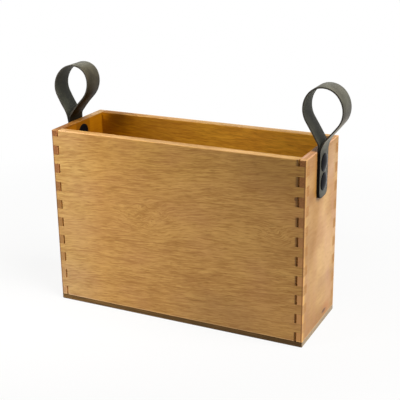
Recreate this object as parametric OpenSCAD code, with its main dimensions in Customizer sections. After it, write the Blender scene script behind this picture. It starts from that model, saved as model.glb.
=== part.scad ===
// Magazine rack: a narrow open box of finger-jointed boards with a strap loop at each end.
// X runs along the box, the front faces -Y, and Z = 0 is the underside of the base.

/* [Box] */
// Length of the box, over the end boards
box_l = 350; // [280:5:450]
// Depth of the box, over the front and back boards
box_d = 120; // [90:5:200]
// Height of the box, base board included
box_h = 240; // [170:5:320]
// Thickness of the front and back boards
side_t = 12; // [9:0.5:18]
// Thickness of the end boards
end_t = 10; // [8:0.5:16]
// Thickness of the base board
base_t = 7; // [4:0.5:14]
// Radius of the four upright corners
corner_r = 1.5; // [0.5:0.25:3]
// Bevel around the rim and under the base
arris = 0.8; // [0.4:0.1:1.5]
// Bevel on both sides of the line between walls and base
seam_bevel = 0.4; // [0.2:0.1:0.8]

/* [Finger joints] */
// Height of a finger, and of the space between two
finger_w = 12.5; // [8:0.5:20]
// Least height of the cut finger at the rim
finger_least = 4; // [2:0.5:8]
// Clearance above and below a finger
finger_fit = 0.1; // [0.05:0.05:0.2]
// Width of the narrow slot beside each finger tip
slot_w = 2.2; // [0.8:0.1:2.4]
// Depth of that slot
slot_deep = 2.5; // [1:0.5:4]

/* [Straps] */
// Width of a strap
strap_w = 30; // [24:1:40]
// Thickness of one layer of strap
strap_t = 1.8; // [1.2:0.1:3]
// How far the strap foot hangs below the rim
foot_drop = 59.3; // [52.3:1:70.3]
// Radius of the lower corners of the foot
foot_r = 8; // [4:0.5:11]
// Groove around the edge between the two layers
layer_groove = 0.3; // [0.1:0.1:0.5]
// How far behind the middle of its end board the left strap sits
left_shift = 0; // [-12:0.5:12]
// How far behind the middle of its end board the right strap sits
right_shift = -7; // [-12:0.5:12]

/* [Strap loops] */
// Width of a loop, over its outside
loop_w = 50.8; // [40.8:1:63.8]
// Height of a loop above the rim
loop_h = 78.2; // [68.2:0.5:94.7]
// Height above the rim where the two layers part
part_h = 3.5; // [3:0.5:8]
// Radius where a layer turns away from its twin
neck_r = 13.4; // [8.4:1:16.4]
// Radius of the loop's sides
side_r = 29.3; // [27.3:1:37.3]
// Angle through which the sides turn in before the crown
crown_turn = 38.5; // [20.5:1:45.5]
// Lean of the left loop, positive away from the box
left_lean = -2.5; // [-12:0.5:12]
// Lean of the right loop, positive away from the box
right_lean = 5; // [-12:0.5:12]
// Height above the rim where a loop starts to bend over as a whole
curl_from = 20; // [10:1:40]
// Bend of the left loop over 50 mm of its height, positive away from the box
left_curl = -8; // [-12:0.5:12]
// Bend of the right loop over 50 mm of its height, positive away from the box
right_curl = -2; // [-12:0.5:12]
// Height of the fold line above the rim
fold_h = 2.4; // [2.1:0.1:3]
// Clearance between the foot and the swinging loop
fold_gap = 0.3; // [0.2:0.1:0.5]

/* [Binding posts and screws] */
// Diameter of the post head, outside the strap
post_head_d = 22; // [16:0.5:23]
// Height of the post head
post_head_h = 3; // [2:0.25:5]
// Diameter of the screw head, inside the box
screw_head_d = 21; // [14:0.5:23]
// Height of the screw head
screw_head_h = 2.6; // [2:0.2:4]
// Height of the straight edge of both heads
head_edge = 1; // [0.5:0.25:1.5]
// Diameter of the post's barrel
barrel_d = 6; // [5:0.5:8]
// Diameter of the screw's shank
shank_d = 4; // [3:0.25:4.5]
// Length of the screw's shank
shank_l = 7; // [5:0.5:7]
// Drop from the rim to the upper post
post_drop = 16; // [14:0.5:20]
// Distance between the two posts
post_pitch = 24; // [23.5:0.5:28]
// Clearance of the barrel in its holes, on the radius
hole_fit = 0.1; // [0.05:0.05:0.3]
// Clearance of the shank in the barrel, on the radius
thread_fit = 0.05; // [0.02:0.01:0.1]
// Gap between the end of the barrel and the inner face of its board
barrel_short = 1; // [0.5:0.25:2]
// Room past the end of the shank in the barrel
shank_room = 1; // [0.5:0.25:2]
// Width of the screwdriver slot
driver_w = 1.4; // [0.8:0.1:2]
// Depth of the screwdriver slot
driver_deep = 1; // [0.6:0.1:1.4]

/* [Hidden] */

WOOD = "#c8955a";
BASE = "#7a5f3f";
STRAP = "#55554b";
METAL = "#26262a";

LEFT = -1;
RIGHT = 1;
FRONT = -1;
BACK = 1;

$fn = 96;
// How far a cutting body runs past what it cuts
over = 5;
// Chords in each arc of a loop
arc_n = 10;

// Inside of the box
in_l = box_l - 2 * end_t;
in_d = box_d - 2 * side_t;

// Fingers of an end board, counted up from the base
wall_h = box_h - base_t;
finger_n = floor((wall_h - finger_least) / (2 * finger_w)) + 1;
function finger_low(k) = base_t + 2 * finger_w * k;
function finger_high(k) = min(finger_low(k) + finger_w, box_h);

// Heights of the two posts
upper_z = box_h - post_drop;
lower_z = upper_z - post_pitch;

// Both layers of the strap together
pair_t = 2 * strap_t;
foot_top = fold_h - strap_t - fold_gap;

// The loop's centre line: neck arc, straight flank, side arc, crown arc
half_w = (loop_w - strap_t) / 2;
crown_r = (half_w - side_r * (1 - cos(crown_turn))) / cos(crown_turn);
crown_z = loop_h - strap_t / 2 - crown_r;
wide_z = crown_z + crown_r * sin(crown_turn) - side_r * sin(crown_turn);
turn_r = neck_r + side_r;
reach_x = turn_r - (half_w - strap_t / 2);
reach_z = wide_z - part_h;
flank_l = sqrt(reach_x * reach_x + reach_z * reach_z - turn_r * turn_r);
flank_a = atan2(reach_z, reach_x) - atan2(flank_l, turn_r);

// A point on each arc where the centre line's heading is a degrees out from upright,
// moved sideways by off, positive away from the inside of the loop
function neck_point(a, off) =
    [strap_t / 2 + neck_r * (1 - cos(a)) + off * cos(a), part_h + neck_r * sin(a) - off * sin(a)];
function side_point(a, off) =
    [half_w - side_r * (1 - cos(a)) + off * cos(a), wide_z - side_r * sin(a) - off * sin(a)];
function crown_point(a, off) = [(crown_r + off) * cos(a), crown_z - (crown_r + off) * sin(a)];

// Half of the loop's outline, from the neck up to the middle of the crown
function half_loop(off) = concat(
    [for (i = [0 : arc_n]) neck_point(flank_a * i / arc_n, off)],
    [for (i = [0 : arc_n]) side_point(flank_a - (flank_a + crown_turn) * i / arc_n, off)],
    [for (i = [1 : arc_n]) crown_point(-crown_turn - (90 - crown_turn) * i / arc_n, off)]);

// The same points on both sides of the middle
function whole_loop(half) =
    concat(half, [for (i = [len(half) - 2 : -1 : 0]) if (half[i].x > 0) [-half[i].x, half[i].y]]);

// Those points bent over: each turned about the fold line in step with its height
function bent(points, curl) = [for (p = points)
    let (a = curl * max(0, p.y - curl_from) / 50, z = p.y - fold_h)
        [p.x * cos(a) + z * sin(a), fold_h - p.x * sin(a) + z * cos(a)]];

// What is set for one end alone
function lean(side) = side < 0 ? left_lean : right_lean;
function curl(side) = side < 0 ? left_curl : right_curl;
function shift(side) = side < 0 ? left_shift : right_shift;

// ---- shared shapes ----

// Upright section of width w from z0 to z1, bevelled by b0 below and b1 above
module bevelled_section(w, z0, z1, b0, b1) {
    polygon([[-w / 2 + b0, z0], [w / 2 - b0, z0], [w / 2, z0 + b0], [w / 2, z1 - b1],
             [w / 2 - b1, z1], [-w / 2 + b1, z1], [-w / 2, z1 - b1], [-w / 2, z0 + b0]]);
}

// Plan of the box with its rounded corners
module plan() {
    square([box_l - 2 * corner_r, box_d], center = true);
    square([box_l, box_d - 2 * corner_r], center = true);
    for (x = [-1, 1], y = [-1, 1])
        translate([x * (box_l / 2 - corner_r), y * (box_d / 2 - corner_r)]) circle(corner_r);
}

// A section in XZ run along Y, and a section in YZ run along X
module along_y(l) { rotate([90, 0, 0]) translate([0, 0, -l / 2]) linear_extrude(l) children(); }
module along_x(l) { rotate([90, 0, 90]) translate([0, 0, -l / 2]) linear_extrude(l) children(); }

// Outer form of a layer of the box from z0 to z1
module box_form(z0, z1, b0, b1) {
    intersection() {
        translate([0, 0, z0]) linear_extrude(z1 - z0) plan();
        along_y(box_d + over) bevelled_section(box_l, z0, z1, b0, b1);
        along_x(box_l + over) bevelled_section(box_d, z0, z1, b0, b1);
    }
}

// Flare that bevels the inner edge of the rim
module rim_flare() {
    intersection() {
        along_y(box_d) flare_section(in_l);
        along_x(box_l) flare_section(in_d);
    }
}

module flare_section(w) {
    polygon([[-w / 2, box_h - arris], [w / 2, box_h - arris],
             [w / 2 + arris + over, box_h + over], [-w / 2 - arris - over, box_h + over]]);
}

// Places its child at an end board: X counts outwards from the outer face, Z up from the rim
module at_end(side) {
    mirror([side < 0 ? 1 : 0, 0, 0]) translate([box_l / 2, 0, box_h]) children();
}

// The same, with the middle of the strap at Y = 0
module at_strap(side) { at_end(side) translate([0, shift(side), 0]) children(); }

// Round bar along X from x0 to x1 at height z
module bar_x(x0, x1, z, d) {
    translate([x0, 0, z]) rotate([0, 90, 0]) cylinder(h = x1 - x0, d = d);
}

// Low domed head of diameter d and height h, standing up from z = 0
module domed_head(d, h) {
    rise = h - head_edge;
    dome_r = (d * d / 4 + rise * rise) / (2 * rise);
    intersection() {
        cylinder(h = h, d = d);
        translate([0, 0, h - dome_r]) sphere(dome_r, $fn = 160);
    }
}

// ---- boards ----

// Sockets in a front or back board for the fingers of both end boards
module finger_sockets(side) {
    for (k = [0 : finger_n - 1], x = [-1, 1])
        translate([x > 0 ? in_l / 2 : -box_l / 2 - over,
                   side > 0 ? in_d / 2 - over : -box_d / 2 - over, finger_low(k) - (k == 0 ? over : 0)])
            cube([end_t + over, side_t + 2 * over,
                  finger_high(k) - finger_low(k) + (k == 0 ? over : 0)
                  + (finger_high(k) == box_h ? over : 0)]);
}

module side_board(side) {
    color(WOOD) difference() {
        intersection() {
            box_form(base_t, box_h, seam_bevel, arris);
            translate([-box_l / 2, side > 0 ? in_d / 2 : -box_d / 2, base_t])
                cube([box_l, side_t, wall_h]);
        }
        finger_sockets(side);
        rim_flare();
    }
}

// One finger of an end board, with the slot beside its tip
module finger(k, side) {
    low = finger_low(k) + (k == 0 ? 0 : finger_fit);
    high = finger_high(k) - (finger_high(k) == box_h ? 0 : finger_fit);
    difference() {
        translate([-end_t, side > 0 ? in_d / 2 : -box_d / 2, low])
            cube([end_t, side_t, high - low]);
        translate([-end_t - over, side > 0 ? box_d / 2 - slot_deep : -box_d / 2 - over, low - over])
            cube([slot_w + over, slot_deep + over, high - low + 2 * over]);
    }
}

module end_board(side) {
    color(WOOD) difference() {
        intersection() {
            box_form(base_t, box_h, seam_bevel, arris);
            mirror([side < 0 ? 1 : 0, 0, 0]) translate([box_l / 2, 0, 0]) {
                translate([-end_t, -in_d / 2, base_t]) cube([end_t, in_d, wall_h]);
                for (k = [0 : finger_n - 1], y = [FRONT, BACK]) finger(k, y);
            }
        }
        rim_flare();
        at_strap(side) post_holes(-end_t - over, over);
    }
}

module base_board() {
    color(BASE) box_form(0, base_t, arris, seam_bevel);
}

// ---- straps ----

// Both holes for the posts, between x0 and x1 at an end
module post_holes(x0, x1) {
    for (z = [upper_z, lower_z]) bar_x(x0, x1, z - box_h, barrel_d + 2 * hole_fit);
}

// Outline of the strap foot, drawn smaller by inset, except at its top
module foot_outline(inset) {
    r = foot_r - inset;
    half = strap_w / 2 - inset;
    low = -foot_drop + inset;
    translate([-half, low + r]) square([2 * half, foot_top - low - r]);
    translate([-half + r, low]) square([2 * (half - r), r]);
    for (y = [-1, 1]) translate([y * (half - r), low + r]) circle(r);
}

// One slice of the foot between x0 and x1
module foot_slice(x0, x1, inset) {
    translate([(x0 + x1) / 2, 0, 0]) along_x(x1 - x0) foot_outline(inset);
}

// The two layers clamped to the outside of an end board
module strap_foot(side) {
    color(STRAP) at_strap(side) difference() {
        union() {
            foot_slice(0, strap_t - layer_groove / 2, 0);
            foot_slice(strap_t - layer_groove / 2, strap_t + layer_groove / 2, layer_groove);
            foot_slice(strap_t + layer_groove / 2, pair_t, 0);
        }
        post_holes(-over, pair_t + over);
    }
}

// Section of the loop, its foot's middle on x = 0
module loop_section(curl) {
    difference() {
        union() {
            polygon(bent(whole_loop(half_loop(strap_t / 2)), curl));
            translate([-strap_t, fold_h]) square([pair_t, part_h - fold_h + strap_t / 2]);
            translate([0, fold_h]) circle(strap_t);
        }
        polygon(bent(whole_loop(half_loop(-strap_t / 2)), curl));
    }
}

// The loop above the fold line, bent over and leaning
module strap_loop(side) {
    color(STRAP) at_strap(side) translate([strap_t, 0, 0]) along_y(strap_w)
        translate([0, fold_h]) rotate(-lean(side)) translate([0, -fold_h]) loop_section(curl(side));
}

// ---- binding posts and screws ----

// Head against the strap, barrel through strap and board, blind bore from the inside
module post(side, z) {
    barrel_x = -end_t + barrel_short;
    bore_x = -end_t + shank_l + shank_room;
    color(METAL) at_strap(side) difference() {
        union() {
            translate([pair_t, 0, z - box_h]) rotate([0, 90, 0]) domed_head(post_head_d, post_head_h);
            bar_x(barrel_x, pair_t + head_edge / 2, z - box_h, barrel_d);
        }
        bar_x(barrel_x - over, bore_x, z - box_h, shank_d + 2 * thread_fit);
    }
}

// Slotted head against the inner face of the board, shank in the post
module screw(side, z) {
    color(METAL) at_strap(side) translate([-end_t, 0, z - box_h]) {
        rotate([0, -90, 0]) difference() {
            domed_head(screw_head_d, screw_head_h);
            translate([-screw_head_d, -driver_w / 2, screw_head_h - driver_deep])
                cube([2 * screw_head_d, driver_w, driver_deep + over]);
        }
        bar_x(-head_edge / 2, shank_l, 0, shank_d);
    }
}

// ---- the assembly ----

side_board(FRONT);  // front_board
side_board(BACK);  // back_board
end_board(LEFT);  // left_end_board
end_board(RIGHT);  // right_end_board
base_board();
strap_foot(LEFT);  // left_strap_foot
strap_foot(RIGHT);  // right_strap_foot
strap_loop(LEFT);  // left_strap_loop
strap_loop(RIGHT);  // right_strap_loop
post(LEFT, upper_z);  // left_upper_post
post(LEFT, lower_z);  // left_lower_post
post(RIGHT, upper_z);  // right_upper_post
post(RIGHT, lower_z);  // right_lower_post
screw(LEFT, upper_z);  // left_upper_screw
screw(LEFT, lower_z);  // left_lower_screw
screw(RIGHT, upper_z);  // right_upper_screw
screw(RIGHT, lower_z);  // right_lower_screw
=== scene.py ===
"""Magazine rack: an oiled teak box with finger joints and a leather strap loop at each end.

Laid out as an add-on and run as a script. X runs along the box, the front faces -Y, Z is up.
"""

import math
from functools import partial
from types import SimpleNamespace

import bmesh
import bpy
from bpy.props import FloatProperty, FloatVectorProperty, PointerProperty
from mathutils import Matrix, Vector


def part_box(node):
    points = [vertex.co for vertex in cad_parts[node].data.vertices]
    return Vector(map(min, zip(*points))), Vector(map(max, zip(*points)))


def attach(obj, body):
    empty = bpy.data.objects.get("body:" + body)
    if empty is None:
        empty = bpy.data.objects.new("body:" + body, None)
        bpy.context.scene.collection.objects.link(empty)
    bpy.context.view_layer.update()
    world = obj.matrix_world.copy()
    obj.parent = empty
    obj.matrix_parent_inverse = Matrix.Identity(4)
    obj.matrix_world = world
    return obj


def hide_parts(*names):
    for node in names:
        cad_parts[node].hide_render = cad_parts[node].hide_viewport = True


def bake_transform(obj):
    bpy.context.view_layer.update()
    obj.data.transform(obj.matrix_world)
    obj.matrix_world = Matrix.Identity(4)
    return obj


bl_info = {
    "name": "Magazine Rack",
    "version": (1, 0, 0),
    "blender": (4, 5, 0),
    "location": "View3D > Sidebar > Rack",
    "description": "Finishes a finger-jointed magazine rack with its straps, posts, screws and stage",
    "category": "Object",
}

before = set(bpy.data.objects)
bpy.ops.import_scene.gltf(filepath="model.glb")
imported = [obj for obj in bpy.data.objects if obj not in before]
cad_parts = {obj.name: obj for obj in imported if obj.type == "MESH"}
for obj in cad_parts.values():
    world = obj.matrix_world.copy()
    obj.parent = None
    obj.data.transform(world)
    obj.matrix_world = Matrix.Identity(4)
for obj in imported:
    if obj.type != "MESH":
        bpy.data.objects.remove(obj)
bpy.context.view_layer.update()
MM = 0.001


def size(millimetres):
    return millimetres * MM


def linear(code):
    """An sRGB hex colour as linear RGB."""
    parts = [int(code[i:i + 2], 16) / 255 for i in (1, 3, 5)]
    return tuple(c / 12.92 if c <= 0.04045 else ((c + 0.055) / 1.055) ** 2.4 for c in parts)


# Places that the frame gives
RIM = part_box("front_board")[1].z
END_IN, END_OUT = (corner.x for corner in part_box("right_end_board"))
FOOT_LOW, FOOT_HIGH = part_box("right_strap_foot")

# In mm, for the materials
RIM_MM = RIM / MM
BASE_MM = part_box("base_board")[1].z / MM
IN_X, OUT_X = END_IN / MM, END_OUT / MM
IN_Y, OUT_Y = (corner.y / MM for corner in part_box("back_board"))
STRAP_HALF = (FOOT_HIGH.y - FOOT_LOW.y) / 2 / MM
FINGER = 12.5  # height of a finger


# ---- sizes and colours that a user would change ----

class RackWood(bpy.types.PropertyGroup):
    light: FloatVectorProperty(name="Light wood", description="Teak between the growth lines",
                               subtype="COLOR", min=0, max=1, default=linear("#bd904c"))
    middle: FloatVectorProperty(name="Middle wood", description="Most of the teak",
                                subtype="COLOR", min=0, max=1, default=linear("#ad7f40"))
    dark: FloatVectorProperty(name="Dark wood", description="Teak in the growth lines",
                              subtype="COLOR", min=0, max=1, default=linear("#986930"))
    end_grain: FloatVectorProperty(name="End grain", description="Cut ends of the fingers",
                                   subtype="COLOR", min=0, max=1, default=linear("#85542d"))
    pore_length: FloatProperty(name="Pore length", description="Length of a pore along the grain",
                               unit="LENGTH", min=0.001, default=size(9))
    base: FloatVectorProperty(name="Base board", description="Stained base board",
                              subtype="COLOR", min=0, max=1, default=linear("#5a4120"))


class RackStraps(bpy.types.PropertyGroup):
    width: FloatProperty(name="Width", description="Width of a strap", unit="LENGTH",
                         default=FOOT_HIGH.y - FOOT_LOW.y)
    thickness: FloatProperty(name="Thickness", description="Thickness of one layer", unit="LENGTH",
                             default=(FOOT_HIGH.x - FOOT_LOW.x) / 2)
    foot_radius: FloatProperty(name="Foot radius", description="Radius of the foot's lower corners",
                               unit="LENGTH", default=size(8))
    edge_radius: FloatProperty(name="Edge radius", description="Rounding of the rubbed edges",
                               unit="LENGTH", default=size(0.35))
    loop_width: FloatProperty(name="Loop width", description="Width of a loop over its outside",
                              unit="LENGTH", default=size(50.8))
    loop_height: FloatProperty(name="Loop height", description="Height of a loop above the rim",
                               unit="LENGTH", default=size(78.2))
    part_height: FloatProperty(name="Parting height", unit="LENGTH", default=size(3.5),
                               description="Height above the rim where the two layers would part squarely")
    neck_radius: FloatProperty(name="Neck radius", description="Radius of that square parting",
                               unit="LENGTH", default=size(13.4))
    side_radius: FloatProperty(name="Side radius", description="Radius of the loop's sides",
                               unit="LENGTH", default=size(29.3))
    crown_turn: FloatProperty(name="Crown turn", subtype="ANGLE", default=math.radians(38.5),
                              description="Angle through which the sides turn in before the crown")
    inner_start: FloatProperty(name="Inner layer starts", unit="LENGTH", default=size(5),
                               description="Height from the rim where the inner layer starts to turn in")
    outer_start: FloatProperty(name="Outer layer starts", unit="LENGTH", default=size(-4.5),
                               description="Height from the rim where the outer layer starts to ease away")
    left_lean: FloatProperty(name="Left lean", subtype="ANGLE", default=math.radians(-2.5),
                             description="Lean of the left loop, positive away from the box")
    right_lean: FloatProperty(name="Right lean", subtype="ANGLE", default=math.radians(5),
                              description="Lean of the right loop, positive away from the box")
    curl_from: FloatProperty(name="Curl starts", unit="LENGTH", default=size(20),
                             description="Height above the rim where a loop starts to bend over")
    left_curl: FloatProperty(name="Left curl", subtype="ANGLE", default=math.radians(-8),
                             description="Bend of the left loop over 50 mm, positive away from the box")
    right_curl: FloatProperty(name="Right curl", subtype="ANGLE", default=math.radians(-2),
                              description="Bend of the right loop over 50 mm, positive away from the box")
    fold_height: FloatProperty(name="Fold height", unit="LENGTH", default=size(2.4),
                               description="Height of the fold line above the rim")
    grain: FloatVectorProperty(name="Grain side", description="Smooth outer side of the leather",
                               subtype="COLOR", min=0, max=1, default=linear("#5b594f"))
    flesh: FloatVectorProperty(name="Flesh side", description="Rough inner side of the leather",
                               subtype="COLOR", min=0, max=1, default=linear("#393931"))
    edge: FloatVectorProperty(name="Edge", description="Inked cut edges",
                              subtype="COLOR", min=0, max=1, default=linear("#403c35"))


class RackMetal(bpy.types.PropertyGroup):
    edge_height: FloatProperty(name="Edge height", description="Straight edge of the heads",
                               unit="LENGTH", default=size(1))
    barrel: FloatProperty(name="Barrel", description="Diameter of a post's barrel",
                          unit="LENGTH", default=size(6))
    shank: FloatProperty(name="Shank", description="Diameter of a screw's shank",
                         unit="LENGTH", default=size(4))
    slot_width: FloatProperty(name="Slot width", description="Width of the screwdriver slot",
                              unit="LENGTH", default=size(1.4))
    slot_depth: FloatProperty(name="Slot depth", description="Depth of the screwdriver slot",
                              unit="LENGTH", default=size(1))
    enamel: FloatVectorProperty(name="Enamel", description="Black stove enamel on the heads",
                                subtype="COLOR", min=0, max=1, default=linear("#0b0b0e"))


class RackStage(bpy.types.PropertyGroup):
    floor: FloatVectorProperty(name="Floor", description="White card under the rack",
                               subtype="COLOR", min=0, max=1, default=linear("#cfcecb"))
    key: FloatProperty(name="Key light", description="Soft lamp to the front left", unit="POWER",
                       default=0.6)
    side: FloatProperty(name="Side light", description="Soft lamp to the right", unit="POWER",
                        default=81.5)
    sky: FloatProperty(name="Surround", description="Even light from all round", default=0.236)
    lens: FloatProperty(name="Lens", description="Focal length", unit="CAMERA", default=83.66)


# ---- working by hand in edit mode ----

def fix_place():
    """Moves the place and turn of the selected piece into its mesh."""
    bpy.ops.object.transform_apply(location=True, rotation=True, scale=True)


def begin(name):
    """Names the primitive that was just added and fixes its place in its mesh."""
    piece = bpy.context.object
    piece.name = piece.data.name = name
    fix_place()
    return piece


def clear_selection():
    if bpy.context.object and bpy.context.object.mode != "OBJECT":
        bpy.ops.object.mode_set(mode="OBJECT")
    bpy.ops.object.select_all(action="DESELECT")


def activate(piece):
    clear_selection()
    piece.select_set(True)
    bpy.context.view_layer.objects.active = piece


def pick(kind, test):
    """Selects the vertices, edges or faces of the edited mesh that pass the test."""
    bpy.ops.mesh.select_mode(type={"verts": "VERT", "edges": "EDGE", "faces": "FACE"}[kind])
    bpy.ops.mesh.select_all(action="DESELECT")
    mesh = bpy.context.edit_object.data
    bm = bmesh.from_edit_mesh(mesh)
    found = [item for item in getattr(bm, kind) if test(item)]
    if not found:
        raise RuntimeError(f"{mesh.name}: nothing to select")
    for item in found:
        item.select_set(True)
    bm.select_flush_mode()
    bmesh.update_edit_mesh(mesh)


def middle(item):
    """Middle of an edge or face."""
    return sum((v.co for v in item.verts), Vector()) / len(item.verts)


def modify(piece, kind, **settings):
    """Adds a modifier and applies it."""
    activate(piece)
    modifier = piece.modifiers.new(kind.title(), kind)
    for key, value in settings.items():
        setattr(modifier, key, value)
    bpy.ops.object.modifier_apply(modifier=modifier.name)


def smooth(piece, angle):
    activate(piece)
    bpy.ops.object.shade_smooth_by_angle(angle=math.radians(angle))


def copy(piece, name):
    """A copy of a piece, with its own mesh."""
    activate(piece)
    bpy.ops.object.duplicate(linked=False)
    twin = bpy.context.object
    twin.name = twin.data.name = name
    return twin


def remove(*pieces):
    clear_selection()
    for piece in pieces:
        piece.select_set(True)
    bpy.ops.object.delete()


def dress(piece, *materials):
    piece.data.materials.clear()
    for material in materials:
        piece.data.materials.append(material)


# ---- materials ----

def node(tree, kind, inputs=(), stops=(), **settings):
    """Adds a shader node. Its inputs are named, or listed in the order that the node shows them.
    Each is a value, a node, whose first shown output is taken, or a node and an output."""
    new = tree.nodes.new("ShaderNode" + kind)
    for key, value in settings.items():
        setattr(new, key, value)
    if stops:
        ramp = new.color_ramp.elements
        while len(ramp) < len(stops):
            ramp.new(1)
        for stop, (place, colour) in zip(ramp, stops):
            stop.position = place
            stop.color = (*colour, 1)
    if isinstance(inputs, dict):
        pairs = [(new.inputs[key], value) for key, value in inputs.items()]
    else:
        pairs = zip([socket for socket in new.inputs if socket.enabled], inputs)
    for socket, value in pairs:
        if isinstance(value, bpy.types.Node):
            value = next(output for output in value.outputs if output.enabled)
        elif isinstance(value, tuple) and isinstance(value[0], bpy.types.Node):
            value = value[0].outputs[value[1]]
        if isinstance(value, bpy.types.NodeSocket):
            tree.links.new(value, socket)
        elif socket.type == "RGBA":
            socket.default_value = (*value, 1)
        else:
            socket.default_value = value
    return new


def new_material(name):
    """A material with no nodes yet, and the call that adds one."""
    material = bpy.data.materials.new(name)
    material.use_nodes = True
    material.node_tree.nodes.clear()
    return material, partial(node, material.node_tree)


def place_in_mm(add):
    """Place on the piece in mm. It stays with the piece when the rack moves."""
    return add("VectorMath", [(add("TexCoord"), "Object"), 1 / MM], operation="SCALE")


def stretched_noise(add, place, lengths, detail, roughness=0.5):
    """Noise whose features have these lengths along the three axes of the place."""
    at = add("VectorMath", [place, tuple(1 / length for length in lengths)], operation="MULTIPLY")
    return add("TexNoise", {"Vector": at, "Scale": 1, "Detail": detail, "Roughness": roughness})


def distance_from(add, place, centre, reach):
    """Distance from a centre, where 1 is the reach along each axis."""
    away = add("VectorMath", [place, centre], operation="SUBTRACT")
    away = add("VectorMath", [away, reach], operation="DIVIDE")
    return add("VectorMath", [away], operation="LENGTH")


def finish_surface(add, colour, rough, ior, specular, height, depth, strength):
    """The shader, with a height laid on it as bump. Its depth is in mm."""
    bump = add("Bump", {"Strength": strength, "Distance": size(depth), "Height": height})
    shader = add("BsdfPrincipled", {"Base Color": colour, "Roughness": rough, "Normal": bump,
                                    "IOR": ior, "Specular IOR Level": specular})
    add("OutputMaterial", [shader])


def studio_ray(add):
    """1 for what the camera sees, straight, as a shine or through glass, and 0 for what lights
    the rack."""
    path = add("LightPath")
    seen = add("Math", [(path, "Is Camera Ray"), (path, "Is Glossy Ray")], operation="MAXIMUM")
    return add("Math", [seen, (path, "Is Transmission Ray")], operation="MAXIMUM")


def shade(colour, factor):
    return tuple(c * factor for c in colour)


def grain_line(add, at, grain, swirls):
    """The place in the grain, pushed about so that its lines wander, ripple and swirl."""
    # By a few millimetres over a hand's width, and a little over a finger's width
    wander = stretched_noise(add, grain, (110, 60, 40), 1)
    line = add("VectorMath", [(wander, "Color"), (0, 5, 9), grain], operation="MULTIPLY_ADD")
    ripple = stretched_noise(add, grain, (20, 14, 9), 1)
    line = add("VectorMath", [(ripple, "Color"), (0, 2, 3), line], operation="MULTIPLY_ADD")
    for centre, reach, push in swirls:
        away = distance_from(add, at.mm, centre, reach)
        inside = add("MapRange", [away, 0.1, 1, push, 0], interpolation_type="SMOOTHSTEP")
        curl = stretched_noise(add, grain, (17, 14, 12), 1)
        lift = add("VectorMath", [(curl, "Color"), (0.2, 0.5, 1)], operation="MULTIPLY")
        lift = add("VectorMath", [lift, inside], operation="SCALE")
        line = add("VectorMath", [line, lift], operation="ADD")
    return line


def painted_inside_shade(add, at, colour):
    """Painted shade and light inside the box: the wood is made deeper and more orange inside, darkest
    towards the left end and paler towards the right, where light falls.
    """
    in_x = add("MapRange", [at.out_x, IN_X + 0.5, IN_X + 0.2])
    in_y = add("MapRange", [at.out_y, IN_Y + 0.5, IN_Y + 0.2])
    under = add("MapRange", [at.z, RIM_MM - 0.3, RIM_MM - 1])
    inside = add("Math", [in_x, in_y], operation="MULTIPLY")
    inside = add("Math", [inside, under], operation="MULTIPLY")
    across = add("MapRange", [at.x, -IN_X, IN_X])
    inside_tint = add("ValToRGB", [across], stops=[(0, (0.52, 0.36, 0.02)), (0.1, (0.35, 0.24, 0.012)),
                                            (0.33, (0.61, 0.5, 0.145)), (0.52, (0.83, 0.73, 0.24)),
                                            (0.7, (0.96, 0.84, 0.285)), (0.88, (1.06, 0.98, 0.33))])
    inside_tint = add("VectorMath", [inside_tint, 1.6], operation="SCALE")
    return add("Mix", [inside, colour, inside_tint], data_type="RGBA", blend_type="MULTIPLY")


def cut_ends(add, at, colour, end_grain, end, share):
    """Across the grain only dots and soft rings show, darker towards the rim."""
    dots = add("TexNoise", {"Vector": at.mm, "Scale": 0.55, "Detail": 3})
    high_up = add("MapRange", [at.z, 60, RIM_MM, 0.3, 1], interpolation_type="SMOOTHSTEP")
    tone = add("ValToRGB", [dots], stops=[(0.35, shade(end_grain, 0.75)),
                                          (0.65, shade(end_grain, 1.2))])
    soaked = add("Mix", [high_up, linear("#b07f56"), tone], data_type="RGBA")
    shown = add("Math", [end, share], operation="MULTIPLY")
    return add("Mix", [shown, colour, soaked], data_type="RGBA")


def on_side_face(add, at):
    """1 on the outer faces of both side boards."""
    return add("MapRange", [at.out_y, OUT_Y - 0.9, OUT_Y - 0.6])


def painted_arris_highlights(add, at, colour):
    """Painted highlights make the arrises paler at the rim, up the corners and near the base, and the
    joint line beside them is dark.
    """
    near_x = add("MapRange", [at.out_x, OUT_X - 1.3, OUT_X - 0.3])
    near_y = add("MapRange", [at.out_y, OUT_Y - 4, OUT_Y - 2])
    near_z = add("MapRange", [at.z, RIM_MM - 1.0, RIM_MM - 0.2])
    low = add("MapRange", [at.z, BASE_MM + 1.8, BASE_MM + 0.8])
    upright = add("Math", [near_x, near_y], operation="MULTIPLY")
    upright = add("Math", [upright, 0.7], operation="MULTIPLY")
    rim = add("Math", [near_x, near_y], operation="MAXIMUM")
    rim = add("Math", [rim, near_z], operation="MULTIPLY")
    arris_highlight = add("Math", [upright, rim], operation="MAXIMUM")
    arris_highlight = add("Math", [arris_highlight, low], operation="MAXIMUM")
    arris_highlight = add("Math", [arris_highlight, 0.5], operation="MULTIPLY")
    # Painted highlight: the arrises are mixed towards a pale colour
    highlighted = add("Mix", [arris_highlight, colour, linear("#d6a874")], data_type="RGBA")
    joint = add("MapRange", [at.out_x, OUT_X - 2.4, OUT_X - 1.7])
    joint_end = add("MapRange", [at.out_x, OUT_X - 0.5, OUT_X - 0.9, 0, 0.75])
    joint = add("Math", [joint, joint_end], operation="MULTIPLY")
    joint = add("Math", [joint, on_side_face(add, at)], operation="MULTIPLY")
    return add("Mix", [joint, highlighted, linear("#6b4120")], data_type="RGBA")


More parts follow.
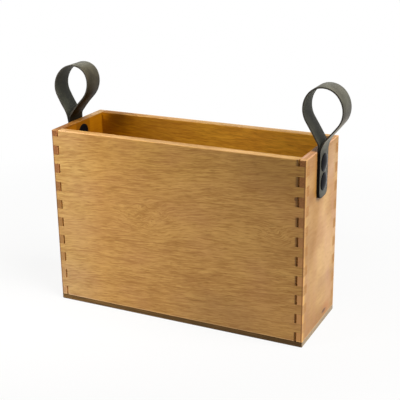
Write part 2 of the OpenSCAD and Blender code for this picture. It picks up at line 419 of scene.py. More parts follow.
def painted_slot_tone(add, at, colour, slot_tone):
    """Narrow saw slot beside each finger tip, whose bottom is painted in its own tone to set how light or
    dark it looks: painted light in pale slots, painted shade in dark ones.
    """
    in_slot = add("MapRange", [at.out_x, IN_X + 2.35, IN_X + 2.25])
    on_side = add("MapRange", [at.out_y, OUT_Y - 2.6, OUT_Y - 2.5])
    sawn = add("Math", [in_slot, on_side], operation="MULTIPLY")
    return add("Mix", [sawn, colour, linear(slot_tone)], data_type="RGBA")


def dark_beside_slots(add, at, colour):
    """The side boards are darker beside the right-hand slots, more towards the rim."""
    reach = add("MapRange", [at.z, 60, 210, 1.6, 4.2])
    away = add("Math", [IN_X, at.x], operation="SUBTRACT")
    away = add("Math", [away, reach], operation="DIVIDE")
    beside = add("MapRange", [away, 1, 0.1], interpolation_type="SMOOTHSTEP")
    level = add("Math", [at.z, BASE_MM], operation="SUBTRACT")
    level = add("Math", [level, FINGER * 2], operation="MODULO")
    level = add("MapRange", [level, FINGER + 0.6, FINGER - 0.6])
    darkening = add("Math", [beside, level], operation="MULTIPLY")
    darkening = add("Math", [darkening, on_side_face(add, at)], operation="MULTIPLY")
    return add("Mix", [darkening, colour, (0.34, 0.29, 0.22)], data_type="RGBA",
               blend_type="MULTIPLY")


def painted_foot_shadow(add, at, colour, middle_y, half_width, low):
    """Painted shadow: a soft dark band round the edge of the strap's foot, where it stands against the
    board.
    """
    across = add("Math", [at.y, middle_y], operation="SUBTRACT")
    across = add("Math", [across], operation="ABSOLUTE")
    across = add("MapRange", [across, half_width, half_width + 3])
    below = add("MapRange", [at.z, low, low - 5])
    away = add("CombineXYZ", [across, below])
    away = add("VectorMath", [away], operation="LENGTH")
    foot_shadow = add("MapRange", [away, 0, 1, 0.38, 0], interpolation_type="SMOOTHSTEP")
    return add("Mix", [foot_shadow, colour, (0.2, 0.14, 0.08)], data_type="RGBA", blend_type="MULTIPLY")


def oiled_teak(name, along, start, wood, slope=0, plain=1, slot_tone=None, foot=None, swirls=(),
               flecks=(), stains_and_light=()):
    """Teak, planed and oiled: a satin golden brown with fine wavy lines and short dark pores along the
    grain, pinker cut ends, painted highlights that make the arrises paler, and painted shade and light
    inside. The pores are really 0.3 mm wide and are drawn 0.9 mm wide so that they show."""
    material, add = new_material(name)
    is_end = along == "Y"
    mm = place_in_mm(add)
    parts = add("SeparateXYZ", [mm])
    x, y, z = (parts, "X"), (parts, "Y"), (parts, "Z")
    at = SimpleNamespace(mm=mm, x=x, y=y, z=z, out_x=add("Math", [x], operation="ABSOLUTE"),
                         out_y=add("Math", [y], operation="ABSOLUTE"))
    turned = add("Mapping", {"Vector": mm, "Location": start,
                             "Rotation": (0, 0, math.radians(90) if is_end else 0)})
    grain = add("Mapping", {"Vector": turned, "Rotation": (0, math.radians(slope), 0)})
    line = grain_line(add, at, grain, swirls)

    # Broad soft patches, longer on a side board, growth lines 3 mm apart, fine lines 2 mm apart
    broad = stretched_noise(add, line, (50 if is_end else 140, 60, 40), 2)
    growth = stretched_noise(add, line, (45, 5, 3.6), 3, 0.6)
    fine = stretched_noise(add, line, (20, 1.9, 1.45), 3, 0.6)
    growth_share, broad_share, fine_share = (0.16, 0.62, 0.22) if is_end else (0.24, 0.2, 0.56)
    tone = add("Math", [growth, growth_share], operation="MULTIPLY")
    tone = add("Math", [broad, broad_share, tone], operation="MULTIPLY_ADD")
    tone = add("Math", [fine, fine_share, tone], operation="MULTIPLY_ADD")
    spread = 0.106 * plain
    face = add("ValToRGB", [tone], stops=[(0.5 - spread, tuple(wood.dark)),
                                          (0.5, tuple(wood.middle)),
                                          (0.5 + spread, tuple(wood.light))])

    # Pores: short dark dashes
    pore = stretched_noise(add, line, (wood.pore_length / MM, 1.1, 0.9), 0)
    pore = add("MapRange", [pore, 0.6, 0.8, 0, 0.5 / plain])
    colour = add("Mix", [pore, face, shade(wood.dark, 0.7)], data_type="RGBA")

    # Warmer, pinker patches: a hand's width across, but upright clouds on an end board
    patch = stretched_noise(add, grain, (26, 26, 75) if is_end else (70, 70, 45), 3)
    patch = add("MapRange", [patch, 0.45, 0.65, 0, 0.45 if is_end else 0.2])
    colour = add("Mix", [patch, colour, linear("#b07c50")], data_type="RGBA")

    out, cut = (at.out_y, OUT_Y) if is_end else (at.out_x, OUT_X)
    end = add("MapRange", [out, cut - 0.9, cut - 0.5])
    # Painted shade and light inside the box
    colour = painted_inside_shade(add, at, colour)
    colour = cut_ends(add, at, colour, wood.end_grain, end, share=1 if is_end else 0.35)
    # Painted highlights along the arrises
    colour = painted_arris_highlights(add, at, colour)
    if is_end:
        colour = painted_slot_tone(add, at, colour, slot_tone)
    else:
        colour = dark_beside_slots(add, at, colour)

    # Broad stains and paler places as tints; on the rims, the front's left end and the right end's face
    # they are partly painted sheen, highlight or light, as listed with them
    for centre, reach, tint in stains_and_light:
        away = distance_from(add, mm, centre, reach)
        patch_share = add("MapRange", [away, 1.25, 0.35], interpolation_type="SMOOTHSTEP")
        colour = add("Mix", [patch_share, colour, tint], data_type="RGBA", blend_type="MULTIPLY")
    # Painted shadow round the strap's foot
    if foot:
        colour = painted_foot_shadow(add, at, colour, *foot)

    # Small dark flecks: a chip on the front, a mark on the right end, and a dark spot at the inner back
    # right corner of the rim
    for centre, reach in flecks:
        away = distance_from(add, mm, centre, reach)
        ragged = add("Math", [fine, 0.9, away], operation="MULTIPLY_ADD")
        spot = add("MapRange", [ragged, 1.5, 1.1, 0, 0.85])
        colour = add("Mix", [spot, colour, linear("#5a3716")], data_type="RGBA")

    # Oil leaves a satin face, duller in the pores and on the cut ends
    rough = add("MapRange", [tone, 0.35, 0.65, 0.5, 0.4])
    rough = add("Math", [pore, 0.2, rough], operation="MULTIPLY_ADD")
    rough = add("Math", [end, 0.15, rough], operation="MULTIPLY_ADD")
    height = add("Math", [fine, 0.5, growth], operation="MULTIPLY_ADD")
    height = add("Math", [pore, -0.8, height], operation="MULTIPLY_ADD")
    gloss = add("MapRange", [z, RIM_MM - 0.6, RIM_MM - 0.2, 0.3, 0.1])
    finish_surface(add, colour, rough, 1.5, gloss, height, depth=0.12, strength=0.35)
    return material


def stained_board(name, wood):
    """Softwood board, sawn, stained dark and left matt: an olive brown with coarse lines along X, darker
    towards the right end, and pale greyish cut ends, partly because they took little of the stain and
    partly as a painted sheen."""
    material, add = new_material(name)
    mm = place_in_mm(add)
    lines = stretched_noise(add, mm, (45, 3, 2), 4, 0.65)
    colour = add("ValToRGB", [lines], stops=[(0.32, shade(wood.base, 0.55)),
                                             (0.5, tuple(wood.base)), (0.7, shade(wood.base, 1.6))])
    parts = add("SeparateXYZ", [mm])
    # Darker towards the right end
    left_to_right_tone = add("MapRange", [(parts, "X"), -OUT_X, OUT_X, 1.25, 0.72])
    colour = add("VectorMath", [colour, left_to_right_tone], operation="SCALE")
    x = add("Math", [(parts, "X")], operation="ABSOLUTE")
    end = add("MapRange", [x, OUT_X - 0.6, OUT_X - 0.3])
    # Pale greyish cut ends: partly less stain taken, partly a painted sheen
    cut = add("ValToRGB", [lines], stops=[(0.35, linear("#8d7960")), (0.65, linear("#ac997d"))])
    colour = add("Mix", [end, colour, cut], data_type="RGBA")
    rough = add("MapRange", [lines, 0, 1, 0.75, 0.55])
    finish_surface(add, colour, rough, 1.5, 0.2, lines, depth=0.2, strength=0.5)
    return material


def harness_leather(name, colour, half, corner, roughness, sheen, pebble, streak, strap_light_and_shade):
    """Harness leather, vegetable tanned and dyed olive grey: a dull, faintly pebbled skin, drawn into soft
    lines along the strap, which follow it through its UV map. Half is half the strap's length and corner
    the radius of its ends. The tints listed for distances from the crown are painted light and shade along
    the strap. On the foot the edge's ink comes 0.9 mm onto the face. Hands have rubbed it off the loop."""
    material, add = new_material(name)
    strap = add("UVMap", uv_map="strap")
    mm = add("VectorMath", [strap, 1 / MM], operation="SCALE")
    # Pebbles 0.7 mm across, pulled lines 1.5 mm apart, and cloudy dye over 20 mm
    cells = add("TexVoronoi", {"Vector": mm, "Scale": 1 / 0.7})
    pulled = stretched_noise(add, mm, (1.5, 18, 1), 3)
    cloud = add("TexNoise", {"Vector": mm, "Scale": 1 / 20, "Detail": 3})
    tone = add("Math", [pulled, streak, cloud], operation="MULTIPLY_ADD")
    tone = add("Math", [(cells, "Distance"), pebble, tone], operation="MULTIPLY_ADD")
    middle_tone = 0.5 + 0.5 * streak + 0.4 * pebble
    dyed = add("ValToRGB", [tone], stops=[(middle_tone - 0.2, shade(colour, 0.66)),
                                          (middle_tone, tuple(colour)),
                                          (min(1, middle_tone + 0.2), shade(colour, 1.34))])
    # Painted light and shade along the strap
    parts = add("SeparateXYZ", [mm])
    run = add("MapRange", [(parts, "Y"), -half, half])
    tint = add("ValToRGB", [run],
               stops=[(0.5 + 0.5 * at / half, shade(brightness, 1 / 3)) for at, brightness in strap_light_and_shade])
    tint = add("VectorMath", [tint, 3], operation="SCALE")
    dyed = add("VectorMath", [dyed, tint], operation="MULTIPLY")
    # Ink within 0.9 mm of the foot's outline, round its corners too, up to 60 mm from its end
    across = add("Math", [(parts, "X")], operation="ABSOLUTE")
    across = add("MapRange", [across, STRAP_HALF - corner, STRAP_HALF, 0, corner])
    from_crown = add("Math", [(parts, "Y")], operation="ABSOLUTE")
    along = add("MapRange", [from_crown, half - corner, half, 0, corner])
    border = add("CombineXYZ", [across, along])
    border = add("VectorMath", [border], operation="LENGTH")
    inked = add("MapRange", [border, corner - 1.1, corner - 0.7])
    foot = add("MapRange", [from_crown, half - 64, half - 56])
    inked = add("Math", [inked, foot], operation="MULTIPLY")
    dyed = add("Mix", [inked, dyed, (0.006, 0.006, 0.005)], data_type="RGBA")
    rough = add("MapRange", [pulled, 0, 1, roughness - 0.08, roughness + 0.08])
    height = add("Math", [pulled, 0.6, (cells, "Distance")], operation="MULTIPLY_ADD")
    finish_surface(add, dyed, rough, 1.45, sheen, height, depth=0.12, strength=0.4)
    return material


def inked_edge(name, colour, half):
    """Cut leather edge, rubbed smooth and inked: worn to a dark brown on the loop, and nearly black on the
    foot, partly ink and partly painted shade between its two layers, with a soft shine."""
    material, add = new_material(name)
    place = add("TexCoord")
    strap = add("UVMap", uv_map="strap")
    parts = add("SeparateXYZ", [strap])
    foot = add("Math", [(parts, "Y")], operation="ABSOLUTE")
    foot = add("MapRange", [foot, size(half - 72), size(half - 58)])
    fibres = add("TexNoise", {"Vector": (place, "Object"), "Scale": 900, "Detail": 3})
    tone = add("ValToRGB", [fibres], stops=[(0.35, shade(colour, 0.6)), (0.65, shade(colour, 1.5))])
    # Nearly black on the foot: ink and painted shade between the layers
    tone = add("Mix", [foot, tone, (0.003, 0.003, 0.003)], data_type="RGBA")
    finish_surface(add, tone, 0.5, 1.45, 0.08, fibres, depth=0.1, strength=0.3)
    return material


def stove_enamel(name, colour):
    """Steel, pressed and stove-enamelled black: smooth and glossy with a faint orange peel."""
    material, add = new_material(name)
    mm = place_in_mm(add)
    peel = add("TexNoise", {"Vector": mm, "Scale": 1 / 1.2, "Detail": 1})
    smear = add("TexNoise", {"Vector": mm, "Scale": 1 / 6, "Detail": 3})
    tone = add("ValToRGB", [smear], stops=[(0.35, shade(colour, 0.8)), (0.65, shade(colour, 1.25))])
    rough = add("MapRange", [smear, 0, 1, 0.06, 0.12])
    finish_surface(add, tone, rough, 1.5, 0.045, peel, depth=0.05, strength=0.15)
    return material


# ---- boards ----

# Where the grain swirls, as centre, reach and push in mm
FRONT_SWIRLS = [((-38, -60, 137), (62, 60, 34), 17), ((138, -60, 143), (26, 60, 22), 11)]
BACK_SWIRLS = [((60, 60, 110), (60, 60, 30), 22)]

# Stains and painted light as centre and reach in mm, and tint. A tint above 1 is a paler place, on the
# rims mostly a painted sheen
FRONT_STAINS_AND_LIGHT = [
    # Left end (painted sheen), right-hand top corner, middle of the foot, lower left corner (painted
    # sheen), top
    ((-165, -60, 150), (55, 60, 200), (1.0, 1.1, 1.34)),
    ((150, -60, 232), (75, 60, 45), (0.78, 0.76, 0.62)),
    ((65, -60, 20), (70, 60, 40), (0.84, 0.84, 0.82)),
    ((-155, -60, 20), (50, 60, 45), (1.03, 1.08, 1.3)),
    ((-10, -60, 225), (110, 60, 35), (0.95, 0.95, 0.84)),
    # The rim, paler as a painted sheen, then a painted highlight on the top of the right-hand arris
    ((-20, -54, 241), (110, 5.8, 3), (1.0, 1.05, 1.3)),
    ((120, -54, 241), (70, 5.8, 3), (1.55, 1.7, 2.4)),
    ((175.6, -54, 228), (0.8, 20, 60), (1.55, 1.5, 1.85)),
]
BACK_STAINS_AND_LIGHT = [
    # Both on the rim: darker at the left, and paler along the rest as a painted sheen
    ((-160, 54, 241), (70, 8, 3), (0.52, 0.4, 0.1)),
    ((60, 54, 241), (150, 8, 3), (1.0, 1.12, 1.42)),
]
LEFT_STAINS_AND_LIGHT = [
    # The rim, from front to back: darker in front, and paler and bluer at the back as a painted sheen
    ((-170, -38, 241), (20, 28, 4), (0.5, 0.4, 0.22)),
    ((-171, 0, 241), (10, 20, 4), (0.75, 0.62, 0.4)),
    ((-170, 42, 241), (20, 22, 4), (0.85, 1.0, 1.6)),
    # Fingers on the front edge
    ((-170, -60, 110), (14, 8, 85), (0.8, 0.86, 0.66)),
    ((-170, -60, 10), (14, 8, 55), (1.12, 1.3, 1.35)),
]
RIGHT_STAINS_AND_LIGHT = [
    # The face, whose paler bluish places are partly a painted sheen
    ((175, -50, 130), (80, 26, 130), (0.95, 0.95, 1.05)),
    ((175, 25, 110), (80, 50, 95), (1.22, 1.34, 1.95)),
    ((175, 35, 215), (80, 25, 30), (1.05, 1.15, 1.75)),
    ((175, 27, 17), (20, 15, 10), (0.98, 0.82, 0.68)),
    ((175, 42, 172), (20, 22, 26), (0.94, 0.9, 0.82)),
    ((175, 20, 60), (20, 40, 12), (0.92, 0.9, 0.95)),
    # Fingers on the front edge
    ((170, -60, 40), (14, 8, 130), (1.35, 1.38, 1.45)),
    ((170, -60, 125), (14, 8, 300), (1.0, 1.0, 0.72)),
    # The rim, paler as a painted sheen, then painted light in the strap's shadow beside its neck, and two
    # lines along it in front
    ((170, 0, 241), (9, 90, 3), (1.15, 1.2, 1.9)),
    # Painted light in the strap's shadow beside its neck
    ((168, -12, 241), (9, 18, 2.5), (1.7, 1.5, 1.1)),
    ((168, -42, 241), (1.2, 20, 2.5), (1.2, 1.3, 1.8)),
    ((171.5, -40, 241), (0.9, 18, 2.5), (0.7, 0.6, 0.5)),
]


def foot_place(end):
    """Middle, half width and lower end of a strap's foot, in mm."""
    low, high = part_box(f"{end}_strap_foot")
    return (low.y + high.y) / 2 / MM, (high.y - low.y) / 2 / MM, low.z / MM


class RACK_OT_boards(bpy.types.Operator):
    """Gives the five boards their wood"""
    bl_idname = "rack.boards"
    bl_label = "Finish the boards"

    def execute(self, context):
        wood = context.scene.rack_wood
        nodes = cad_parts
        dress(nodes["front_board"],
              oiled_teak("oiled_teak_front", "X", (0, 0, 0), wood, slope=5, swirls=FRONT_SWIRLS,
                         flecks=[((163, -60, 191.5), (2.2, 3, 2.4))], stains_and_light=FRONT_STAINS_AND_LIGHT))
        dress(nodes["back_board"],
              oiled_teak("oiled_teak_back", "X", (410, 77, 350), wood, slope=-2,
                         swirls=BACK_SWIRLS, flecks=[((164, 49.5, 240), (3.2, 2.2, 1.5))],
                         stains_and_light=BACK_STAINS_AND_LIGHT))
        # The slots are painted pale on the left end, as painted light, and dark on the right end, as
        # painted shade
        dress(nodes["left_end_board"],
              oiled_teak("oiled_teak_left_end", "Y", (-230, 90, 130), wood, plain=1.5,
                         slot_tone="#c48850", foot=foot_place("left"), stains_and_light=LEFT_STAINS_AND_LIGHT))
        dress(nodes["right_end_board"],
              oiled_teak("oiled_teak_right_end", "Y", (650, -40, 710), wood, plain=1.5,
                         slot_tone="#8f5a1c", foot=foot_place("right"),
                         flecks=[((175, 21, 15.5), (3, 9, 2.4))], stains_and_light=RIGHT_STAINS_AND_LIGHT))
        dress(nodes["base_board"], stained_board("stained_base_board", wood))
        return {"FINISHED"}


# ---- straps ----

POST_HOLE = size(6.2)  # with 0.1 mm of room round the barrel


def between(a, b, steps):
    """Points that cut the way from a to b into steps, without a and b."""
    return [(a[0] + (b[0] - a[0]) * i / steps, a[1] + (b[1] - a[1]) * i / steps)
            for i in range(1, steps)]


def strap_line(straps, lean, curl):
    """Middle line of a strap, as (out from the end board, up from the rim): up the inner layer of
    the foot, round the loop and down the outer layer. The loop's arcs are those of the solid."""
    t = straps.thickness
    half_w = (straps.loop_width - t) / 2
    turn = straps.crown_turn
    crown_r = (half_w - straps.side_radius * (1 - math.cos(turn))) / math.cos(turn)
    crown_z = straps.loop_height - t / 2 - crown_r
    wide_z = crown_z + (crown_r - straps.side_radius) * math.sin(turn)
    turn_r = straps.neck_radius + straps.side_radius
    reach_x = turn_r - (half_w - t / 2)
    reach_z = wide_z - straps.part_height
    flank = math.sqrt(reach_x ** 2 + reach_z ** 2 - turn_r ** 2)
    flank_a = math.atan2(reach_z, reach_x) - math.atan2(flank, turn_r)
    corner_z = straps.part_height + straps.neck_radius * math.tan(flank_a / 2)

    def one_side(start, steps):
        neck_r = (corner_z - start) / math.tan(flank_a / 2)
        line = []
        for i in range(steps + 1):
            a = flank_a * i / steps
            line.append((t / 2 + neck_r * (1 - math.cos(a)), start + neck_r * math.sin(a)))
        first = (half_w - straps.side_radius * (1 - math.cos(flank_a)),
                 wide_z - straps.side_radius * math.sin(flank_a))
        line += between(line[-1], first, 8)
        for i in range(25):
            a = flank_a - (flank_a + turn) * i / 24
            line.append((half_w - straps.side_radius * (1 - math.cos(a)),
                         wide_z - straps.side_radius * math.sin(a)))
        for i in range(1, 17):
            a = -turn - (math.pi / 2 - turn) * i / 16
            line.append((crown_r * math.cos(a), crown_z - crown_r * math.sin(a)))
        return line

    foot_end = (-t / 2, straps.outer_start)
    inner = [(-x, z) for x, z in one_side(straps.inner_start, 10)]
    outer = one_side(straps.outer_start, 20)
    bare = [foot_end] + between(foot_end, inner[0], 6) + inner + outer[-2::-1]

    # The lean sets in gently, from where the outer layer eases away to 9 mm above the rim
    lean_end = straps.fold_height * 2 + size(4)
    line = []
    for x, z in bare:
        share = min(1, max(0, (z - straps.outer_start) / (lean_end - straps.outer_start)))
        a = lean * share * share * (3 - 2 * share)
        a += curl * max(0, z - straps.curl_from) / size(50)
        up = z - straps.fold_height
        line.append((t + x * math.cos(a) + up * math.sin(a),
                     straps.fold_height - x * math.sin(a) + up * math.cos(a)))
    return line


def run_of(line):
    """Distance of each point of a line from its start."""
    runs = [0]
    for a, b in zip(line, line[1:]):
        runs.append(runs[-1] + math.dist(a, b))
    return runs


def run_at(place, line, runs):
    """Distance from a line's start to the point on it that is nearest to a place."""
    found = []
    for a, b, run in zip(line, line[1:], runs):
        a, b = Vector(a), Vector(b)
        share = min(1, max(0, (place - a).dot(b - a) / (b - a).length_squared))
        found.append(((a.lerp(b, share) - place).length, run + share * (b - a).length))
    return min(found)[1]


def make_strap(straps, end, lean, curl, materials):
    """One strip of leather: a flat sheet is drawn out along its line, then thickened."""
    t, width = straps.thickness, straps.width
    side = 1 if end == "right" else -1
    foot_low, foot_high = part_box(f"{end}_strap_foot")
    y = (foot_low.y + foot_high.y) / 2
    line = [(side * (END_OUT + x), RIM + z) for x, z in strap_line(straps, lean, curl)]

    # Inner layer of the foot, then the rest drawn out from its upper edge
    clear_selection()
    first, last = line[0], line[-1]
    low = foot_low.z
    bpy.ops.mesh.primitive_plane_add(size=width, rotation=(0, math.pi / 2, 0),
                                     location=(first[0], y, low + width / 2))
    strap = begin(f"{end}_strap")
    bpy.ops.object.mode_set(mode="EDIT")
    pick("edges", lambda e: all(v.co.z > low + width * 0.9 for v in e.verts))
    at = (first[0], low + width)
    outer_at = (last[0], low + width)
    path = between(at, first, 8) + line + between(last, outer_at, 6) + [outer_at, (last[0], low)]
    for x, z in path:
        bpy.ops.mesh.extrude_region_move(
            TRANSFORM_OT_translate={"value": (x - at[0], 0, z - at[1])})
        at = (x, z)

    # Both ends get round corners, and the grain side is turned outwards
    pick("verts", lambda v: abs(v.co.z - low) < size(0.01))
    bpy.ops.mesh.bevel(offset=straps.foot_radius, segments=8, affect="VERTICES")
    bpy.ops.mesh.select_all(action="SELECT")
    bm = bmesh.from_edit_mesh(strap.data)
    top = max(bm.faces, key=lambda f: middle(f).z)
    if top.normal.z < 0:
        bpy.ops.mesh.flip_normals()
    bpy.ops.object.mode_set(mode="OBJECT")

    # UV map in metres: across the strap, and along its line from the crown
    whole = [(first[0], low)] + path
    runs = run_of(whole)
    layer = strap.data.uv_layers.new(name="strap")
    for loop in strap.data.loops:
        place = strap.data.vertices[loop.vertex_index].co
        run = run_at(Vector((place.x, place.z)), whole, runs)
        layer.data[loop.index].uv = (place.y - y, run - runs[-1] / 2)

    # Thickened to 0.03 mm less than the solid, which keeps the layers of the foot apart
    dress(strap, *materials)
    modify(strap, "SOLIDIFY", thickness=t - size(0.03), offset=0, use_even_offset=True,
           use_rim=True, material_offset=1, material_offset_rim=2)
    activate(strap)
    bpy.ops.object.mode_set(mode="EDIT")
    bpy.ops.mesh.select_all(action="SELECT")
    bpy.ops.mesh.normals_make_consistent(inside=False)
    bpy.ops.object.mode_set(mode="OBJECT")

    # Holes for the barrels of both posts
    for level in ("upper", "lower"):
        post_low, post_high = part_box(f"{end}_{level}_post")
        clear_selection()
        bpy.ops.mesh.primitive_cylinder_add(
            vertices=32, radius=POST_HOLE / 2, depth=size(16), rotation=(0, math.pi / 2, 0),
            location=(side * END_OUT, y, (post_low.z + post_high.z) / 2))
        drill = begin("drill")
        modify(strap, "BOOLEAN", object=drill, operation="DIFFERENCE", solver="MANIFOLD")
        remove(drill)

    modify(strap, "BEVEL", width=straps.edge_radius, segments=2, limit_method="ANGLE",
           angle_limit=math.radians(40))
    smooth(strap, 40)
    return strap


class RACK_OT_straps(bpy.types.Operator):
    """Makes both leather straps, each one strip from foot to foot"""
    bl_idname = "rack.straps"
    bl_label = "Make the straps"

    def execute(self, context):
        straps = context.scene.rack_straps
        loop = run_of(strap_line(straps, straps.right_lean, straps.right_curl))[-1]
        half = (loop / 2 + RIM + straps.outer_start - FOOT_LOW.z) / MM
        # Tints at distances from the crown, in mm, the inner layer's below 0. On the grain side they are
        # painted light and shade: darkest on the inner layer, which faces the box, lightest at the crown,
        # darker down the sides, with a painted sheen at the outer neck. On the flesh side they are painted
        # light under the crown
        grain_light_and_shade = [(-94, (0.04, 0.03, 0.01)), (-72, (0.09, 0.06, 0.02)),
                      (-58, (0.14, 0.1, 0.04)), (-44, (0.27, 0.21, 0.12)),
                      (-29, (0.41, 0.36, 0.27)), (-14, (0.54, 0.5, 0.41)),
                      (0, (0.98, 0.99, 0.97)), (10, (0.8, 0.78, 0.74)), (30, (0.6, 0.6, 0.56)),
                      (44, (0.64, 0.61, 0.62)), (50, (1.0, 0.93, 0.96)),
                      (55, (1.55, 1.44, 1.5)), (62, (2.5, 2.35, 2.35)),
                      (84, (2.4, 2.3, 2.3)), (91, (1.05, 1.05, 1.0)),
                      (99, (0.62, 0.62, 0.6))]
        flesh_light_and_shade = [(-60, (1.15, 1.12, 1.12)), (-42, (1.25, 1.25, 1.25)),
                      (-34, (1.7, 1.7, 1.7)), (-26, (2.4, 2.4, 2.4)), (0, (2, 2, 2)),
                      (22, (1.5, 1.5, 1.5)), (36, (1, 1, 0.95))]
        corner = straps.foot_radius / MM
        materials = [
            harness_leather("harness_leather_grain_side", straps.grain, half, corner,
                            roughness=0.5, sheen=0.14, pebble=0.25, streak=0.6, strap_light_and_shade=grain_light_and_shade),
            harness_leather("harness_leather_flesh_side", straps.flesh, half, corner,
                            roughness=0.75, sheen=0.5, pebble=0.35, streak=0.6, strap_light_and_shade=flesh_light_and_shade),
            inked_edge("inked_leather_edge", straps.edge, half),
        ]
        for end, lean, curl in (("left", straps.left_lean, straps.left_curl),
                                ("right", straps.right_lean, straps.right_curl)):
            strap = make_strap(straps, end, lean, curl, materials)
            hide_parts(f"{end}_strap_foot", f"{end}_strap_loop")
            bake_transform(strap)
        return {"FINISHED"}


# ---- binding posts and screws ----

def domed_head(name, at, pointing, diameter, height, edge):
    """A round head on the plane x = at.x, domed towards +X or -X: a disc whose face is inset in
    rings that rise along a sphere."""
    clear_selection()
    bpy.ops.mesh.primitive_cylinder_add(
        vertices=72, radius=diameter / 2, depth=edge, rotation=(0, math.pi / 2, 0),
        location=(at.x + pointing * edge / 2, at.y, at.z))
    head = begin(name)
    bpy.ops.object.mode_set(mode="EDIT")
    pick("faces", lambda f: f.normal.x * pointing > 0.9)
    radius, rise = diameter / 2, height - edge
    dome_r = (radius ** 2 + rise ** 2) / (2 * rise)
    before = (radius, 0)
    for share in (0.96, 0.9, 0.82, 0.72, 0.6, 0.47, 0.34, 0.21, 0.1):
        r = radius * share
        up = math.sqrt(dome_r ** 2 - r ** 2) - (dome_r - rise)
        bpy.ops.mesh.inset(thickness=before[0] - r, depth=up - before[1])
        before = (r, up)
    bpy.ops.mesh.poke(offset=height - edge - before[1])
    return head


def turn_shank(pointing, radius_from, radius, length):
    """Draws a round shank out of the back of the head that is being edited."""
    pick("faces", lambda f: f.normal.x * pointing < -0.9)
    bpy.ops.mesh.inset(thickness=radius_from - radius, depth=0)
    bpy.ops.mesh.extrude_region_move(
        TRANSFORM_OT_translate={"value": (-pointing * length, 0, 0)})


def finish_head(head, material):
    """Eases the edges and closes the piece."""
    bpy.ops.object.mode_set(mode="OBJECT")
    modify(head, "BEVEL", width=size(0.25), segments=3, limit_method="ANGLE",
           angle_limit=math.radians(50))
    smooth(head, 35)
    dress(head, material)


def place_copies(first, kind, turns):
    """Copies the right upper piece to the other three places. Each is then turned on its own
    axis, by degrees given in the order of their names."""
    low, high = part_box(f"right_upper_{kind}")
    far_low, far_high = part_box(f"left_lower_{kind}")
    drop = (far_low.z + far_high.z - low.z - high.z) / 2
    middle_y = (low.y + high.y + far_low.y + far_high.y) / 4
    pieces = {f"right_upper_{kind}": first}
    for end in ("right", "left"):
        for level in ("upper", "lower"):
            name = f"{end}_{level}_{kind}"
            if name not in pieces:
                twin = copy(first, f"{name}_piece")
                if level == "lower":
                    bpy.ops.transform.translate(value=(0, 0, drop))
                if end == "left":
                    bpy.ops.transform.rotate(value=math.pi, orient_axis="Z",
                                             center_override=(0, middle_y, 0))
                fix_place()
                pieces[name] = twin
    for (name, piece), turn in zip(sorted(pieces.items()), turns):
        low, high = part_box(name)
        activate(piece)
        bpy.ops.transform.rotate(value=math.radians(turn), orient_axis="X",
                                 center_override=tuple((low + high) / 2))
        fix_place()
        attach(piece, "box")
        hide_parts(name)
    return pieces


class RACK_OT_posts(bpy.types.Operator):
    """Makes the four binding posts, whose domed heads lie on the strap feet"""
    bl_idname = "rack.posts"
    bl_label = "Make the posts"

    def execute(self, context):
        metal = context.scene.rack_metal
        low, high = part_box("right_upper_post")
        centre = (low + high) / 2
        seat = FOOT_HIGH.x
        diameter = high.z - low.z
        post = domed_head("right_upper_post_piece", Vector((seat, centre.y, centre.z)), 1,
                          diameter, high.x - seat, metal.edge_height)
        turn_shank(1, diameter / 2, metal.barrel / 2, seat - low.x)
        # Blind bore for the screw, 7 mm deep, with 0.05 mm of room round the shank
        bpy.ops.mesh.inset(thickness=(metal.barrel - metal.shank) / 2 - size(0.05), depth=0)
        bpy.ops.mesh.extrude_region_move(TRANSFORM_OT_translate={"value": (size(7), 0, 0)})
        finish_head(post, stove_enamel("stove_enamelled_steel", metal.enamel))
        place_copies(post, "post", (0, 0, 0, 0))
        return {"FINISHED"}


class RACK_OT_screws(bpy.types.Operator):
    """Makes the four slotted screws on the inner faces of the end boards"""
    bl_idname = "rack.screws"
    bl_label = "Make the screws"

    def execute(self, context):
        metal = context.scene.rack_metal
        low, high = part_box("right_upper_screw")
        centre = (low + high) / 2
        diameter = high.z - low.z
        screw = domed_head("right_upper_screw_piece", Vector((END_IN, centre.y, centre.z)), -1,
                           diameter, END_IN - low.x, metal.edge_height)
        turn_shank(-1, diameter / 2, metal.shank / 2, high.x - END_IN)
        bpy.ops.object.mode_set(mode="OBJECT")
        # Screwdriver slot right across the dome
        clear_selection()
        bpy.ops.mesh.primitive_cube_add(
            size=1, location=(low.x, centre.y, centre.z),
            scale=(2 * metal.slot_depth, metal.slot_width, 2 * diameter))
        saw = begin("saw")
        modify(screw, "BOOLEAN", object=saw, operation="DIFFERENCE", solver="EXACT")
        remove(saw)
        activate(screw)
        material = bpy.data.materials.get("stove_enamelled_steel")
        if material is None:
            raise RuntimeError("make the posts before the screws")
        finish_head(screw, material)
        place_copies(screw, "screw", (18, -64, 40, -12))
        return {"FINISHED"}


# ---- stage ----

CAMERA_PLACE = (0.5135, -1.0251, 0.5515)
HEADING, TILT, ROLL = 26.193, 70.633, -0.867  # of the camera, in degrees


def soft_lamp(name, place, target, width, spread, power):
    clear_selection()
    bpy.ops.object.light_add(type="AREA", location=place)
    lamp = bpy.context.object
    lamp.name = lamp.data.name = name
    lamp.data.shape = "SQUARE"
    lamp.data.size = width
    lamp.data.spread = math.radians(spread)
    lamp.data.energy = power
    aim = (Vector(target) - Vector(place)).to_track_quat("-Z", "Y")
    lamp.rotation_euler = aim.to_euler()
    lamp.visible_camera = lamp.visible_glossy = False
    return lamp


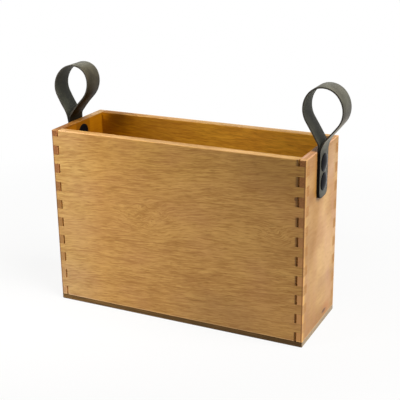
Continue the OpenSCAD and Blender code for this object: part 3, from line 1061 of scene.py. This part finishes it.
def white_card(name, colour):
    """White card, matt: lit as paper, and shown to the eye and in reflections as a white studio
    surface that keeps the rack's shadow."""
    material, add = new_material(name)
    # The shadow shows most close to the rack, and is gone 0.8 m away
    away = add("VectorMath", [(add("TexCoord"), "Object")], operation="LENGTH")
    whiter = add("MapRange", [away, 0.25, 0.8, 0.84, 1])
    share = add("Math", [studio_ray(add), whiter], operation="MULTIPLY")
    paper = add("BsdfDiffuse", {"Color": colour})
    glow = add("Emission", {"Color": (1, 1, 1), "Strength": 1})
    mix = add("MixShader", [share, paper, glow])
    add("OutputMaterial", [mix])
    return material


class RACK_OT_stage(bpy.types.Operator):
    """Sets the white floor, the surround, the soft lamps and the camera"""
    bl_idname = "rack.stage"
    bl_label = "Set the stage"

    def execute(self, context):
        stage = context.scene.rack_stage
        clear_selection()
        bpy.ops.mesh.primitive_plane_add(size=8, location=(0, 0, 0))
        floor = begin("floor")
        dress(floor, white_card("white_card", stage.floor))

        world = bpy.data.worlds.new("surround")
        context.scene.world = world
        world.use_nodes = True
        world.node_tree.nodes.clear()
        add = partial(node, world.node_tree)
        even = add("Background", {"Color": (1, 1, 1), "Strength": stage.sky})
        white = add("Background", {"Color": (1, 1, 1), "Strength": 1})
        mix = add("MixShader", [studio_ray(add), even, white])
        add("OutputWorld", [mix])

        soft_lamp("key_lamp", place=(-0.321, -0.5, 0.659), target=(-0.214, -0.06, 0.118),
                  width=0.16, spread=57, power=stage.key)
        soft_lamp("side_lamp", place=(1.435, -0.285, 1.993), target=(0, 0, 0.15), width=1.5,
                  spread=180, power=stage.side)

        clear_selection()
        bpy.ops.object.camera_add(location=CAMERA_PLACE)
        camera = bpy.context.object
        camera.name = camera.data.name = "camera"
        turned = (Matrix.Rotation(math.radians(HEADING), 3, "Z")
                  @ Matrix.Rotation(math.radians(TILT), 3, "X")
                  @ Matrix.Rotation(math.radians(ROLL), 3, "Z"))
        camera.rotation_euler = turned.to_euler()
        camera.data.lens = stage.lens
        camera.data.sensor_width = 36
        camera.data.clip_end = 20
        context.scene.camera = camera
        context.scene.view_settings.view_transform = "Standard"
        clear_selection()
        return {"FINISHED"}


# ---- panel and start ----

STEPS = (RACK_OT_boards, RACK_OT_straps, RACK_OT_posts, RACK_OT_screws, RACK_OT_stage)
SETTINGS = {"rack_wood": RackWood, "rack_straps": RackStraps, "rack_metal": RackMetal,
            "rack_stage": RackStage}


class RACK_PT_panel(bpy.types.Panel):
    """Lists the steps of the rack and their sizes and colours"""
    bl_idname = "RACK_PT_panel"
    bl_label = "Magazine Rack"
    bl_space_type = "VIEW_3D"
    bl_region_type = "UI"
    bl_category = "Rack"

    def draw(self, context):
        for step in STEPS:
            self.layout.operator(step.bl_idname)
        for name in SETTINGS:
            box = self.layout.box()
            group = getattr(context.scene, name)
            for key in group.bl_rna.properties.keys():
                if key not in ("rna_type", "name"):
                    box.prop(group, key)


def register():
    for cls in (*SETTINGS.values(), *STEPS, RACK_PT_panel):
        bpy.utils.register_class(cls)
    for name, cls in SETTINGS.items():
        setattr(bpy.types.Scene, name, PointerProperty(type=cls))


def unregister():
    for name in SETTINGS:
        delattr(bpy.types.Scene, name)
    for cls in reversed((*SETTINGS.values(), *STEPS, RACK_PT_panel)):
        bpy.utils.unregister_class(cls)


def main():
    register()
    bpy.ops.rack.boards()
    bpy.ops.rack.straps()
    bpy.ops.rack.posts()
    bpy.ops.rack.screws()
    bpy.ops.rack.stage()


if __name__ == "__main__":
    main()
